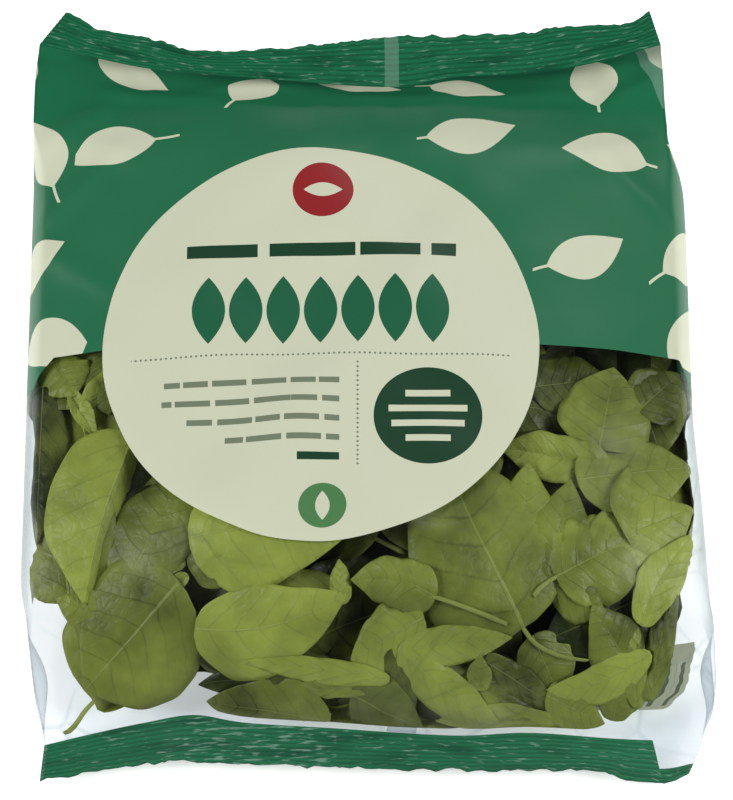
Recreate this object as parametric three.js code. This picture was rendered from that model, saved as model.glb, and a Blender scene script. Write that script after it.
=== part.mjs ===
// Bag of salad leaves: a clear film pillow bag with side gussets, lying on its back, front up.
// Millimetres, +Z up. +Y runs from the bottom seal to the top seal, +X is the bag's right.
// The bag is full and shut, so it is one solid out to the film: the stuffed body, the two
// crimped end seals and the back seal. The leaves inside can't be reached and are left out.

import * as THREE from "three";

// Body heights above the table
const frontHeight = 62;
const frontCreaseHeight = 47;
const backCreaseHeight = 9;

// How far from a seal the body reaches its full height, at the middle and at the creases
const frontRun = { bottomMiddle: 58, bottomCrease: 84, topMiddle: 50, topCrease: 76 };
const backRun = { bottomMiddle: 42, bottomCrease: 60, topMiddle: 66, topCrease: 84 };

// The flat spot that the bag lies on, as a share of the back's half width
const flatShare = 0.62;

// Side gussets: bulge of the opened side, depth of the fold beside a seal, and their lengths
const gussetBulge = 7;
const gussetFold = 8;
const gussetFoldHeight = 24;
const gussetFoldReach = 34;
const gussetOpenReach = 62;

// Over this distance the body's width passes into the seal's
const sealBlendReach = 18;

// Crimped end seals: two films pressed into ridges that run across the bag
const sealThickness = 1.2;
const ridgeCount = 9;
const ridgeHeight = 0.45;
const cutEdgeRaggedness = 0.7;

// Back seal: a folded strip down the back, its place and half width as shares of the half width
const backSeal = { place: 0.09, halfWidth: 0.055, edge: 0.005, thickness: 0.6 };

// Seal lines from the left end to the right end: the inner edge and the cut edge
const topInnerLine = [
  [-120, 132, 42], [-80, 126.5, 34], [-40, 124, 31], [8, 121, 30],
  [32, 124.5, 31], [57, 125.5, 32], [80, 128, 34], [108, 132, 42],
];
const topCutLine = [
  [-110, 144, 46], [-98, 140, 40], [-80, 138.5, 36], [-58, 136, 30], [-24, 138.5, 30],
  [8, 141.5, 31], [54, 142.5, 32], [72, 144.5, 34], [95, 143.5, 38], [104, 146, 43],
];
const bottomInnerLine = [
  [-114, -134, 8], [-97, -130, 9], [-78, -126.5, 11], [-61, -124.5, 13], [-43, -127.5, 13],
  [-14, -129.5, 13], [30, -132, 12], [58, -131, 12], [90, -132.5, 10], [119, -133, 9],
];
const bottomCutLine = [
  [-115.5, -146.5, 5], [-89, -142.5, 7], [-74, -141, 8], [-62, -141, 10], [-24, -143, 10],
  [30, -144.5, 10], [80, -144, 8], [91, -147, 7], [104, -147.8, 6], [114, -144.5, 6],
];

// Outline seen from above, [y, x], from the bottom seal to the top seal
const leftOutline = [
  [-134, -114.5], [-114, -118], [-92, -120.8], [-80, -122.7], [-54, -122.5],
  [6, -122.1], [71, -121.5], [111, -121.2], [132, -120.4],
];
const rightOutline = [
  [-136, 118.5], [-128, 121.5], [-119, 123.5], [-92, 122.2], [-47, 119.5], [-15, 117.3],
  [31, 116.6], [66, 116], [79, 115], [87, 112.4], [97, 109.5], [132, 108],
];

// Dents of the film beside the top seal, [x, y, radius x, radius y, depth]
const dents = [
  [-76, 113, 22, 11, 5],
  [66, 113, 30, 10, 5],
  [104, 92, 12, 20, 3],
];

// The leaves press low bumps into the film, [wavelength x, wavelength y, phase, height]
const bumps = [
  [74, 96, 0.4, 1.2],
  [47, 58, 2.1, 0.7],
];

// Grid of the solid's faces. Columns, [column, share of the half width], meet the back seal's edges
const columnStops = [
  [0, -1],
  [13, backSeal.place - backSeal.halfWidth - backSeal.edge],
  [14, backSeal.place - backSeal.halfWidth],
  [15, backSeal.place + backSeal.halfWidth],
  [16, backSeal.place + backSeal.halfWidth + backSeal.edge],
  [28, 1],
];
const acrossSteps = 28;
const gussetSteps = 4;
const bodySteps = 36;
const sealSteps = 2 * ridgeCount;

const curveThrough = (points) => new THREE.CatmullRomCurve3(points.map((point) => new THREE.Vector3(...point)));

const seals = {
  top: { inner: curveThrough(topInnerLine), cut: curveThrough(topCutLine) },
  bottom: { inner: curveThrough(bottomInnerLine), cut: curveThrough(bottomCutLine) },
};

const mix = THREE.MathUtils.lerp;

// Half of a hill: 1 at distance 0, falling smoothly to 0 at the reach
function fall(distance, reach) {
  const left = Math.max(0, 1 - distance / reach);
  return left * left;
}

// Value between the points [key, value] of a line of straight pieces
function alongLine(line, key) {
  const last = line.length - 1;
  const found = line.findIndex(([pointKey]) => pointKey >= key);
  const next = found < 0 ? last : Math.max(1, found);
  const [key0, value0] = line[next - 1];
  const [key1, value1] = line[next];
  return mix(value0, value1, THREE.MathUtils.clamp((key - key0) / (key1 - key0), 0, 1));
}

// How far the side stands out from its creases: folded in beside a seal, bulging further on
function gussetOut(distance) {
  const fold = THREE.MathUtils.clamp(distance / gussetFoldReach, 0, 1);
  const opened = THREE.MathUtils.smoothstep(distance, gussetFoldReach, gussetOpenReach);
  return gussetBulge * opened - gussetFold * Math.sin(Math.PI * fold);
}

// The crimp: ridges across the seal, level with its middle
function ridge(step) {
  return step % 2 === 0 ? 0 : ridgeHeight;
}

function sealPoint(seal, across, step, side) {
  const u = (across + 1) / 2;
  const share = step / sealSteps;
  const point = seal.inner.getPointAt(u).lerp(seal.cut.getPointAt(u), share);
  point.y += step === sealSteps ? cutEdgeRaggedness * Math.sin(37 * across) : 0;
  point.z += side * sealThickness / 2 + ridge(step);
  return point;
}

function dentDepth(x, y) {
  const depths = dents.map(([dentX, dentY, radiusX, radiusY, depth]) => {
    const squares = ((x - dentX) / radiusX) ** 2 + ((y - dentY) / radiusY) ** 2;
    return depth * Math.exp(-squares);
  });
  return depths.reduce((sum, depth) => sum + depth, 0);
}

function bumpHeight(x, y) {
  const heights = bumps.map(([waveX, waveY, phase, height]) => (
    height * Math.sin(2 * Math.PI * x / waveX + phase) * Math.sin(2 * Math.PI * y / waveY + phase)
  ));
  return heights.reduce((sum, height) => sum + height, 0);
}

// Front film: highest in the middle, lower at the creases, falling to both seals
function frontZ(across, x, y, toBottom, toTop, bottomZ, topZ) {
  const edge = across ** 2;
  const full = frontHeight - (frontHeight - frontCreaseHeight) * Math.abs(across) ** 2.4;
  const nearBottom = fall(toBottom, mix(frontRun.bottomMiddle, frontRun.bottomCrease, edge));
  const nearTop = fall(toTop, mix(frontRun.topMiddle, frontRun.topCrease, edge));
  const soft = (1 - nearBottom) * (1 - nearTop);
  const relief = soft * (bumpHeight(x, y) * (1 - edge) - dentDepth(x, y));
  return full + (bottomZ - full) * nearBottom + (topZ - full) * nearTop + relief;
}

// Back film: flat on the table, rising to the creases and to both seals
function backZ(across, toBottom, toTop, bottomZ, topZ) {
  const edge = across ** 2;
  const beyondFlat = Math.max(0, Math.abs(across) - flatShare) / (1 - flatShare);
  const onBackSeal = Math.abs(across - backSeal.place) < backSeal.halfWidth + backSeal.edge / 2;
  const full = backCreaseHeight * beyondFlat ** 2 + (onBackSeal ? 0 : backSeal.thickness);
  const nearBottom = fall(toBottom, mix(backRun.bottomMiddle, backRun.bottomCrease, edge));
  const nearTop = fall(toTop, mix(backRun.topMiddle, backRun.topCrease, edge));
  return full + (bottomZ - full) * nearBottom + (topZ - full) * nearTop;
}

// A point of the body's film; side is 1 on the front, -1 on the back and between on a gusset
function bodyPoint(across, along, side) {
  const u = (across + 1) / 2;
  const bottom = seals.bottom.inner.getPointAt(u);
  const top = seals.top.inner.getPointAt(u);
  const y = mix(bottom.y, top.y, along);
  const toBottom = y - bottom.y;
  const toTop = top.y - y;
  const out = gussetOut(Math.min(toBottom, toTop));
  const left = alongLine(leftOutline, y) + Math.max(0, out);
  const right = alongLine(rightOutline, y) - Math.max(0, out);
  const nearSeal = fall(Math.min(toBottom, toTop), sealBlendReach);
  const x = mix(mix(left, right, u), toBottom < toTop ? bottom.x : top.x, nearSeal);

  const half = sealThickness / 2;
  const front = frontZ(across, x, y, toBottom, toTop, bottom.z + half, top.z + half);
  const back = backZ(across, toBottom, toTop, bottom.z - half, top.z - half);
  const room = out < 0 ? Math.min(1, (front - back) / gussetFoldHeight) : 1;
  const onGusset = Math.abs(across) === 1 ? Math.sign(across) * out * room * (1 - side * side) : 0;
  return new THREE.Vector3(x + onGusset, y, mix(back, front, (side + 1) / 2));
}

// Stations along the bag: bottom seal from its cut edge, body, top seal to its cut edge
function filmPoint(across, station, side) {
  if (station < sealSteps) {
    return sealPoint(seals.bottom, across, sealSteps - station, side);
  }
  if (station > sealSteps + bodySteps) {
    return sealPoint(seals.top, across, station - sealSteps - bodySteps, side);
  }
  const share = (station - sealSteps) / bodySteps;
  const along = (1 - Math.cos(Math.PI * share)) / 2;
  return bodyPoint(across, mix(share, along, 0.55), side);
}

// The bag's faces are a box's faces with their points moved onto the film
function makeBagGeometry() {
  const alongSteps = bodySteps + 2 * sealSteps;
  const geometry = new THREE.BoxGeometry(2, 2, 2, acrossSteps, alongSteps, gussetSteps);
  const position = geometry.getAttribute("position");
  for (let i = 0; i < position.count; i += 1) {
    const column = Math.round((position.getX(i) + 1) / 2 * acrossSteps);
    const across = alongLine(columnStops, column);
    const station = Math.round((position.getY(i) + 1) / 2 * alongSteps);
    const side = position.getZ(i);
    const point = filmPoint(across, station, side);
    position.setXYZ(i, point.x, point.y, point.z);
  }
  geometry.computeVertexNormals();
  return geometry;
}

// Origin under the middle of the bag's box, on the table
function placeOnTable(geometry) {
  geometry.computeBoundingBox();
  const { min, max } = geometry.boundingBox;
  geometry.translate(-(min.x + max.x) / 2, -(min.y + max.y) / 2, -min.z);
}

function makeBag() {
  const geometry = makeBagGeometry();
  placeOnTable(geometry);
  const film = new THREE.MeshStandardMaterial({ color: 0x5f8a4c, roughness: 0.25, metalness: 0 });
  const bag = new THREE.Mesh(geometry, film);
  bag.name = "bag";
  return bag;
}

const object = new THREE.Group();
object.add(makeBag());

export default object;
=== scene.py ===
# %% [markdown]
# # A clear bag of salad leaves
# This scene dresses one CAD solid, the stuffed bag, for its picture. The solid gives the size and
# the place. Here it is replaced by what the real bag is: a thin printed film, shut by two crimped
# seals, with a heap of thin leaves behind it. Lengths are in millimetres until a mesh is written.

import math
from dataclasses import dataclass

import bpy
import numpy as np
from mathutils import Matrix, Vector
from mathutils.bvhtree import BVHTree


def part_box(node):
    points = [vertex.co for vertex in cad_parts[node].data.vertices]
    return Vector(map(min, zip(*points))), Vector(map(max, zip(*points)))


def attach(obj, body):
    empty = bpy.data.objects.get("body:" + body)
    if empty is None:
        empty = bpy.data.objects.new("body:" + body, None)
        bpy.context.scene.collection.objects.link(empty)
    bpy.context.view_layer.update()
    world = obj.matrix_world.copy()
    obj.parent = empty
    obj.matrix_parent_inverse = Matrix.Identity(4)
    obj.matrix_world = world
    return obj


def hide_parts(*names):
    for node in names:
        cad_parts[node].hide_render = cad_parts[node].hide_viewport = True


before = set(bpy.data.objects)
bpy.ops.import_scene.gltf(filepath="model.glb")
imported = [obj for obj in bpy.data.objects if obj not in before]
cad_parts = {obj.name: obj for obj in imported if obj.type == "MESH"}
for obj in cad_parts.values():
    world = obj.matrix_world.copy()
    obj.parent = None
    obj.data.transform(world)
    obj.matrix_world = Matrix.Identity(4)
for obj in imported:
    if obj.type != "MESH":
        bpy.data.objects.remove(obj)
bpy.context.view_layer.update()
MM = 0.001
bag_low, bag_high = (np.array(corner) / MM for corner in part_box("bag"))
print("bag box in mm:", bag_low.round(1), bag_high.round(1))

# %% [markdown]
# ## Camera
# The bag lies on its back and is seen from its bottom end, looking down. The printed disc shows
# how steeply: its height is 0.89 of its width, so the view is 27 degrees off the bag's front.
# A long lens far away keeps both ends nearly the same size, as they are in the photo.

# %% Camera at the photo's viewing angle
view_elevation = math.radians(63.0)
view_distance = 2500.0
view_centre = np.array([-0.33, -4.95, 26.0])
frame_pixels = (733, 800)
mm_per_pixel = 0.36

look = np.array([0.0, math.cos(view_elevation), -math.sin(view_elevation)])


def add_object(name, data):
    """A new object at the origin of the scene."""
    thing = bpy.data.objects.new(name, data)
    bpy.context.collection.objects.link(thing)
    return thing


camera_data = bpy.data.cameras.new("camera")
camera = add_object("camera", camera_data)
camera.location = Vector((view_centre - view_distance * look) * MM)
camera.rotation_euler = Vector(look).to_track_quat("-Z", "Y").to_euler()
camera_data.sensor_fit = "HORIZONTAL"
camera_data.sensor_width = 36.0
camera_data.lens = camera_data.sensor_width * view_distance / (frame_pixels[0] * mm_per_pixel)
camera_data.clip_end = 20.0
bpy.context.scene.camera = camera
print("lens in mm:", round(camera_data.lens, 1))

# %% [markdown]
# ## Floor and light
# A white sweep under soft light, as in a pack shot. The colours are given as they look on the
# white floor, so the view transform is Standard, which keeps them. Two wide lamps at the sides
# light the bag evenly, and a small one behind it draws the gloss on the film's folds.

# %% Colours and nodes
def srgb(red, green, blue):
    """Linear colour of an 8-bit sRGB colour: ((c + 0.055) / 1.055) ** 2.4 for all but the darkest."""
    share = np.array([red, green, blue]) / 255.0
    linear = np.where(share <= 0.04045, share / 12.92, ((share + 0.055) / 1.055) ** 2.4)
    return (*[float(value) for value in linear], 1.0)


def new_material(name):
    """An empty node material, returned with its node tree and output."""
    material = bpy.data.materials.new(name)
    material.use_nodes = True
    tree = material.node_tree
    tree.nodes.clear()
    return material, tree, tree.nodes.new("ShaderNodeOutputMaterial")


def feed(tree, socket, value):
    """Link an output, or a Field's output, into an input socket; any other value is a constant."""
    value = getattr(value, "socket", value)
    if isinstance(value, bpy.types.NodeSocket):
        tree.links.new(value, socket)
    else:
        socket.default_value = value


def add_node(tree, kind, settings=None, **inputs):
    """A node with its settings; inputs go by their names, with _ in place of a space."""
    node = tree.nodes.new(kind)
    for name, value in (settings or {}).items():
        setattr(node, name, value)
    for name, value in inputs.items():
        feed(tree, node.inputs[name.replace("_", " ")], value)
    return node


print("middle grey of 128 in linear light:", round(srgb(128, 128, 128)[0], 3))


# %% Floor, lamps and world
def add_floor():
    """A square of floor far wider than the view."""
    half = 3.0
    corners = [(-half, -half, 0), (half, -half, 0), (half, half, 0), (-half, half, 0)]
    mesh = bpy.data.meshes.new("floor")
    mesh.from_pydata(corners, [], [(0, 1, 2, 3)])
    floor = add_object("floor", mesh)
    material, tree, output = new_material("white_floor")
    shader = add_node(
        tree, "ShaderNodeBsdfPrincipled", Base_Color=(0.93, 0.93, 0.93, 1.0), Roughness=0.7,
        Specular_IOR_Level=0.2, Emission_Color=(1.0, 1.0, 1.0, 1.0), Emission_Strength=0.56,
    )
    tree.links.new(shader.outputs[0], output.inputs[0])
    mesh.materials.append(material)


def add_lamp(name, place, size, power):
    """A square area lamp at place, turned to face the bag; metres and watts."""
    data = bpy.data.lights.new(name, "AREA")
    data.shape = "SQUARE"
    data.size = size
    data.energy = power
    lamp = add_object(name, data)
    lamp.location = place
    lamp.rotation_euler = (bag_middle - Vector(place)).to_track_quat("-Z", "Y").to_euler()


add_floor()
bag_middle = Vector((0, 0, 0.03))
add_lamp("back", (0.5, 1.15, 1.25), 0.6, 4.5)
add_lamp("right", (1.3, -0.32, 1.0), 0.8, 21.0)
add_lamp("left", (-1.3, -0.25, 1.0), 0.8, 21.0)
world = bpy.data.worlds.new("studio")
world.use_nodes = True
sky = world.node_tree.nodes["Background"]
sky.inputs["Color"].default_value = (1.0, 1.0, 1.0, 1.0)
sky.inputs["Strength"].default_value = 0.14
scene = bpy.context.scene
scene.world = world
scene.view_settings.view_transform = "Standard"
print("view transform:", scene.view_settings.view_transform)

# %% [markdown]
# ## Shape of the film
# The film could be the CAD solid's own faces, but those are 8 mm wide, and the finer film needs
# its creases and its crimp. So the same rules are worked out again on a fine grid: seal lines and
# side outlines are curves through a few measured points, and heights fall smoothly to the seals.

# %% Driving sizes of the bag, as in the solid
front_height = 62.0
front_crease_height = 47.0
back_crease_height = 9.0
# A higher power keeps the front flat further out from its middle
crown_power = 2.4
front_run = {"bottom": (58.0, 84.0), "top": (50.0, 76.0)}
back_run = {"bottom": (42.0, 60.0), "top": (66.0, 84.0)}
flat_share = 0.62
back_seal_thickness = 0.6
gusset_bulge, gusset_fold, gusset_fold_height = 7.0, 8.0, 24.0
gusset_fold_reach, gusset_open_reach = 34.0, 62.0
seal_blend_reach = 18.0
ridge_count, ridge_height = 9, 0.45
# The cut edge is torn in coarse and in fine waves: height, width, seed
cut_waves = [(0.6, 3.0, 11), (0.4, 1.1, 12)]
# Pleats run into a seal, and the whole front wavers a little
pleat_height, pleat_width, pleat_reach = 2.2, 6.5, 42
waver_height, waver_width = 0.5, 22.0

# Seal lines from the left end to the right end (x, y, z), and side outlines seen from above (y, x)
top_inner_line = [
    (-120, 132, 42), (-80, 126.5, 34), (-40, 124, 31), (8, 121, 30),
    (32, 124.5, 31), (57, 125.5, 32), (80, 128, 34), (108, 132, 42),
]
top_cut_line = [
    (-110, 144, 46), (-98, 140, 40), (-80, 138.5, 36), (-58, 136, 30), (-24, 138.5, 30),
    (8, 141.5, 31), (54, 142.5, 32), (72, 144.5, 34), (95, 143.5, 38), (104, 146, 43),
]
bottom_inner_line = [
    (-114, -134, 8), (-97, -130, 9), (-78, -126.5, 11), (-61, -124.5, 13), (-43, -127.5, 13),
    (-14, -129.5, 13), (30, -132, 12), (58, -131, 12), (90, -132.5, 10), (119, -133, 9),
]
bottom_cut_line = [
    (-115.5, -146.5, 5), (-89, -142.5, 7), (-74, -141, 8), (-62, -141, 10), (-24, -143, 10),
    (30, -144.5, 10), (80, -144, 8), (91, -147, 7), (104, -147.8, 6), (114, -144.5, 6),
]
left_outline = [
    (-134, -114.5), (-114, -118), (-92, -120.8), (-80, -122.7), (-54, -122.5),
    (6, -122.1), (71, -121.5), (111, -121.2), (132, -120.4),
]
right_outline = [
    (-136, 118.5), (-128, 121.5), (-119, 123.5), (-92, 122.2), (-47, 119.5), (-15, 117.3),
    (31, 116.6), (66, 116), (79, 115), (87, 112.4), (97, 109.5), (132, 108),
]
# Dents beside the top seal: middle x, y, radius in x, in y, depth
dents = [(-76, 113, 22, 11, 5), (66, 113, 30, 10, 5), (104, 92, 12, 20, 3)]
# Low bumps that the leaves press out: wavelength in x, in y, phase, height
bumps = [(74, 96, 0.4, 1.2), (47, 58, 2.1, 0.7)]
# Low folds of the front film: middle x, y, half length, slope, half width, height
folds = [
    (-76, 108, 22, -0.14, 4.5, 2.6), (-42, 114, 18, 0.1, 4.0, 2.2), (8, 108, 26, -0.05, 4.0, 1.6),
    (60, 110, 24, 0.1, 5.0, 2.4), (98, 112, 12, 0.5, 5.0, 2.2), (-104, 96, 14, 0.6, 6.0, 1.6),
    (-106, 66, 16, 0.9, 6.0, 1.3), (-104, 34, 14, -0.7, 6.0, 1.1), (100, 66, 12, -1.0, 6.0, 1.3),
    (-92, 82, 14, -0.4, 6.0, 1.2), (92, 84, 18, 0.35, 7.0, 1.8),
    (103.5, -105, 5, 2.9, 4.4, 3.0), (104, -124, 9, -1.1, 2.4, 1.4), (94, -126, 8, -0.5, 1.8, 1.2),
    (112, -120, 5, -2.2, 4.0, 1.4), (-104, -122, 8, 0.9, 2.6, 1.0),
]


# %% Curves, falls and noise
def curve_through(points, samples=400):
    """A smooth curve through points, as samples at equal steps of its length.

    Between two points it is a cubic. Its slope at each is half the step from the point before to
    the point after.
    """
    p = np.array(points, float)
    p = np.vstack([2 * p[0] - p[1], p, 2 * p[-1] - p[-2]])
    at = np.linspace(0, len(points) - 1, samples)
    k = np.minimum(at.astype(int), len(points) - 2)
    t = (at - k)[:, None]
    a, b, c, d = p[k], p[k + 1], p[k + 2], p[k + 3]
    square, cube = 2 * a - 5 * b + 4 * c - d, 3 * b - a - 3 * c + d
    curve = 0.5 * (2 * b + (c - a) * t + square * t**2 + cube * t**3)
    length = np.concatenate([[0], np.cumsum(np.linalg.norm(np.diff(curve, axis=0), axis=1))])
    even = np.linspace(0, length[-1], samples)
    return np.stack([np.interp(even, length, curve[:, i]) for i in range(p.shape[1])], -1)


def at_share(curve, share):
    """Points of an even curve at shares 0 to 1 of its length."""
    steps = np.linspace(0, 1, len(curve))
    return np.stack([np.interp(share, steps, curve[:, i]) for i in range(curve.shape[1])], -1)


def fall(distance, reach):
    """1 at distance 0, falling to 0 at the reach as (1 - distance / reach) squared."""
    return np.clip(1 - distance / reach, 0, 1) ** 2


def smooth(value, low, high):
    """0 below low, 1 above high, and 3 t squared - 2 t cubed between."""
    t = np.clip((value - low) / (high - low), 0, 1)
    return t * t * (3 - 2 * t)


def blend_corners(corner, tx, ty):
    """Blend of a cell's corner values corner(0 or 1, 0 or 1) at shares tx and ty of the cell."""
    low = corner(0, 0) * (1 - tx) + corner(1, 0) * tx
    high = corner(0, 1) * (1 - tx) + corner(1, 1) * tx
    return low * (1 - ty) + high * ty


def noise(x, y, cell, seed):
    """Smooth noise from -1 to 1: random values on a square lattice, blended across each cell."""
    count = 64
    lattice = np.random.default_rng(seed).uniform(-1, 1, (count, count))
    # The shift keeps the places positive
    fx, fy = np.asarray(x) / cell + 1000.0, np.asarray(y) / cell + 1000.0
    ix, iy = np.floor(fx).astype(int), np.floor(fy).astype(int)

    def corner(i, j):
        return lattice[(ix + i) % count, (iy + j) % count]

    return blend_corners(corner, smooth(fx - ix, 0, 1), smooth(fy - iy, 0, 1))


top_inner, top_cut = curve_through(top_inner_line), curve_through(top_cut_line)
bottom_inner, bottom_cut = curve_through(bottom_inner_line), curve_through(bottom_cut_line)
left_line, right_line = curve_through(left_outline), curve_through(right_outline)
print("top seal, mm long:", round(float(np.linalg.norm(np.diff(top_inner, axis=0), axis=1).sum())))


# %% Heights of the front and the back, and bulge of the sides
def run_length(run, edge):
    """Distance over which the body rises from a seal: from its middle value to its crease value."""
    return run[0] + (run[1] - run[0]) * edge


def front_z(across, x, y, to_bottom, to_top, bottom_z, top_z):
    """Highest in the middle, lower at the creases, falling to both seals, with dents, bumps and folds."""
    edge = across**2
    full = front_height - (front_height - front_crease_height) * np.abs(across) ** crown_power
    near_bottom = fall(to_bottom, run_length(front_run["bottom"], edge))
    near_top = fall(to_top, run_length(front_run["top"], edge))
    relief = np.zeros_like(x)
    for wave_x, wave_y, phase, height in bumps:
        swell = np.sin(2 * np.pi * x / wave_x + phase) * np.sin(2 * np.pi * y / wave_y + phase)
        relief += height * swell * (1 - edge)
    for dent_x, dent_y, radius_x, radius_y, depth in dents:
        relief -= depth * np.exp(-(((x - dent_x) / radius_x) ** 2) - ((y - dent_y) / radius_y) ** 2)
    relief *= (1 - near_bottom) * (1 - near_top)
    for fold_x, fold_y, half_length, slope, half_width, height in folds:
        beyond = (y - fold_y - slope * (x - fold_x)) / half_width
        relief += height * np.exp(-(beyond**2) - ((x - fold_x) / half_length) ** 4)
    nearest = np.minimum(to_bottom, to_top)
    relief += waver_height * noise(x, y, waver_width, 5) * smooth(nearest, 4, 30)
    relief += pleats(x, y, nearest)
    return full + (bottom_z - full) * near_bottom + (top_z - full) * near_top + relief


def pleats(x, y, to_seal):
    """Small folds that run into a seal: noise stretched along the bag, strongest 8 mm from it."""
    stretched = noise(x + 0.1 * y, y / 7, pleat_width, 3)
    return pleat_height * stretched * smooth(to_seal, 0, 8) * fall(to_seal, pleat_reach)


def back_z(across, to_bottom, to_top, bottom_z, top_z):
    """Flat on the table, rising to the creases and to both seals."""
    edge = across**2
    beyond_flat = np.clip(np.abs(across) - flat_share, 0, 1) / (1 - flat_share)
    full = back_crease_height * beyond_flat**2 + back_seal_thickness
    near_bottom = fall(to_bottom, run_length(back_run["bottom"], edge))
    near_top = fall(to_top, run_length(back_run["top"], edge))
    return full + (bottom_z - full) * near_bottom + (top_z - full) * near_top


def gusset_out(distance):
    """How far a side stands out from its creases: folded in beside a seal, bulging further on."""
    fold_share = np.clip(distance / gusset_fold_reach, 0, 1)
    opened = smooth(distance, gusset_fold_reach, gusset_open_reach)
    return gusset_bulge * opened - gusset_fold * np.sin(np.pi * fold_share)


print("a side stands out by, mm:", gusset_out(np.array([0.0, 17.0, 34.0, 62.0])).round(1))


# %% Points of the body and of the seals
def body_points(across, side, along, layer):
    """Film at shares across (-1 to 1) and along (0 to 1); side is 1 front, -1 back, between on a gusset."""
    u = (across + 1) / 2
    bottom, top = at_share(bottom_inner, u), at_share(top_inner, u)
    y = bottom[..., 1] + (top[..., 1] - bottom[..., 1]) * along
    to_bottom, to_top = y - bottom[..., 1], top[..., 1] - y
    nearest = np.minimum(to_bottom, to_top)
    out = gusset_out(nearest)
    left = np.interp(y, left_line[:, 0], left_line[:, 1]) + np.maximum(0, out)
    right = np.interp(y, right_line[:, 0], right_line[:, 1]) - np.maximum(0, out)
    near_seal = fall(nearest, seal_blend_reach)
    seal_x = np.where(to_bottom < to_top, bottom[..., 0], top[..., 0])
    x = (left + (right - left) * u) * (1 - near_seal) + seal_x * near_seal
    front = front_z(across, x, y, to_bottom, to_top, bottom[..., 2] + layer, top[..., 2] + layer)
    back = back_z(across, to_bottom, to_top, bottom[..., 2] - layer, top[..., 2] - layer)
    room = np.where(out < 0, np.minimum(1, (front - back) / gusset_fold_height), 1)
    # A full side rolls over from the front in a round, a folded one meets it in a crease
    profile = np.where(out > 0, np.clip(1 - side**2, 0, 1) ** 0.6, 1 - side**2)
    on_side = np.abs(across) > 0.9999
    on_gusset = np.where(on_side, np.sign(across) * out * room * profile, 0)
    return np.stack([x + on_gusset, y, back + (front - back) * (side + 1) / 2], -1)


def seal_points(inner, cut, across, side, share, layer):
    """Crimped seal from its inner edge (share 0) to its cut edge (share 1): the ridges are a cosine."""
    u = (across + 1) / 2
    point = at_share(inner, u) * (1 - share[..., None]) + at_share(cut, u) * share[..., None]
    outward = np.sign(at_share(cut, u)[..., 1] - at_share(inner, u)[..., 1])
    ragged = sum(height * noise(point[..., 0], 0, width, seed) for height, width, seed in cut_waves)
    # The sixth power keeps the raggedness close to the cut edge
    point[..., 1] += outward * ragged * share**6
    point[..., 2] += side * layer + ridge_height * (1 - np.cos(2 * np.pi * ridge_count * share)) / 2
    return point


# %% Grid of the whole film tube
front_columns, back_columns, gusset_columns = 150, 90, 14
body_rows, seal_rows = 170, 36
film_layer = 0.15

front_across = np.linspace(-1, 1, front_columns + 1)
gusset_side = np.cos(np.linspace(0, np.pi, gusset_columns + 1))
back_across = np.linspace(1, -1, back_columns + 1)
right_gusset = np.ones(gusset_columns - 1)
around_across = np.concatenate([front_across, right_gusset, back_across, -right_gusset])
around_side = np.concatenate([
    np.ones(front_columns + 1), gusset_side[1:-1], -np.ones(back_columns + 1), gusset_side[::-1][1:-1],
])
row_share = np.linspace(0, 1, body_rows + 1)
along_rows = 0.45 * row_share + 0.55 * (1 - np.cos(np.pi * row_share)) / 2
seal_share = np.linspace(0, 1, seal_rows + 1)

across_grid, along_grid = np.meshgrid(around_across, along_rows)
side_grid = np.meshgrid(around_side, along_rows)[0]
body = body_points(across_grid, side_grid, along_grid, film_layer)
seal_across, seal_grid = np.meshgrid(around_across, seal_share)
seal_side = np.meshgrid(around_side, seal_share)[0]
bottom_seal = seal_points(bottom_inner, bottom_cut, seal_across, seal_side, seal_grid, film_layer)
top_seal = seal_points(top_inner, top_cut, seal_across, seal_side, seal_grid, film_layer)
film_points = np.concatenate([bottom_seal[:0:-1], body, top_seal[1:]])
film_middle = (film_points.min((0, 1)) + film_points.max((0, 1))) / 2
to_frame = ((bag_low + bag_high) / 2 - film_middle) * (1, 1, 0)
film_points += to_frame
print("film grid:", film_points.shape[:2], "moved into the frame by", to_frame.round(2))
print("film box:", film_points.min((0, 1)).round(1), film_points.max((0, 1)).round(1))

# %% [markdown]
# ## Flat coordinates of the film
# The print was made on flat film, so it has to follow the film's own surface. Each point gets the
# distance along the film from the middle of the front: across the bag as U, along it as V. The
# print is then drawn in these flat millimetres, and bends and foreshortens with the film.

# %% Flat coordinates
seal_column = front_columns + gusset_columns + 39
seal_columns = 5
seam_column = seal_column + seal_columns // 2


def flat_coordinates(points):
    """Arc lengths over the tube: across each row both ways from the front's middle, along each column."""
    step_across = np.linalg.norm(np.roll(points, -1, axis=1) - points, axis=-1)
    across = np.cumsum(step_across, axis=1) - step_across
    middle = front_columns // 2
    across += points[:, middle : middle + 1, 0] - across[:, middle : middle + 1]
    # The back's left half is reached over the left side; both ways meet under the back seal
    across[:, seam_column + 1 :] -= step_across.sum(axis=1, keepdims=True)
    step_along = np.linalg.norm(np.diff(points, axis=0), axis=-1)
    along = np.concatenate([np.zeros((1, points.shape[1])), np.cumsum(step_along, axis=0)])
    halfway = len(points) // 2
    along = along - along[halfway] + points[halfway, :, 1]
    return across, along


flat_across, flat_along = flat_coordinates(film_points)
middle_row = len(film_points) // 2
print("flat width round the tube, mm:", round(float(np.ptp(flat_across[middle_row]))))


# %% Faces and pieces
def grid_faces(rows, columns, closed):
    """Quads of a grid of points, row after row; closed joins the last column to the first."""
    last = columns if closed else columns - 1
    row, column = np.meshgrid(np.arange(rows - 1), np.arange(last), indexing="ij")
    after = (column + 1) % columns
    start, start_above = row * columns, (row + 1) * columns
    corners = (start + column, start + after, start_above + after, start_above + column)
    return np.stack(corners, -1).reshape(-1, 4)


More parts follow.
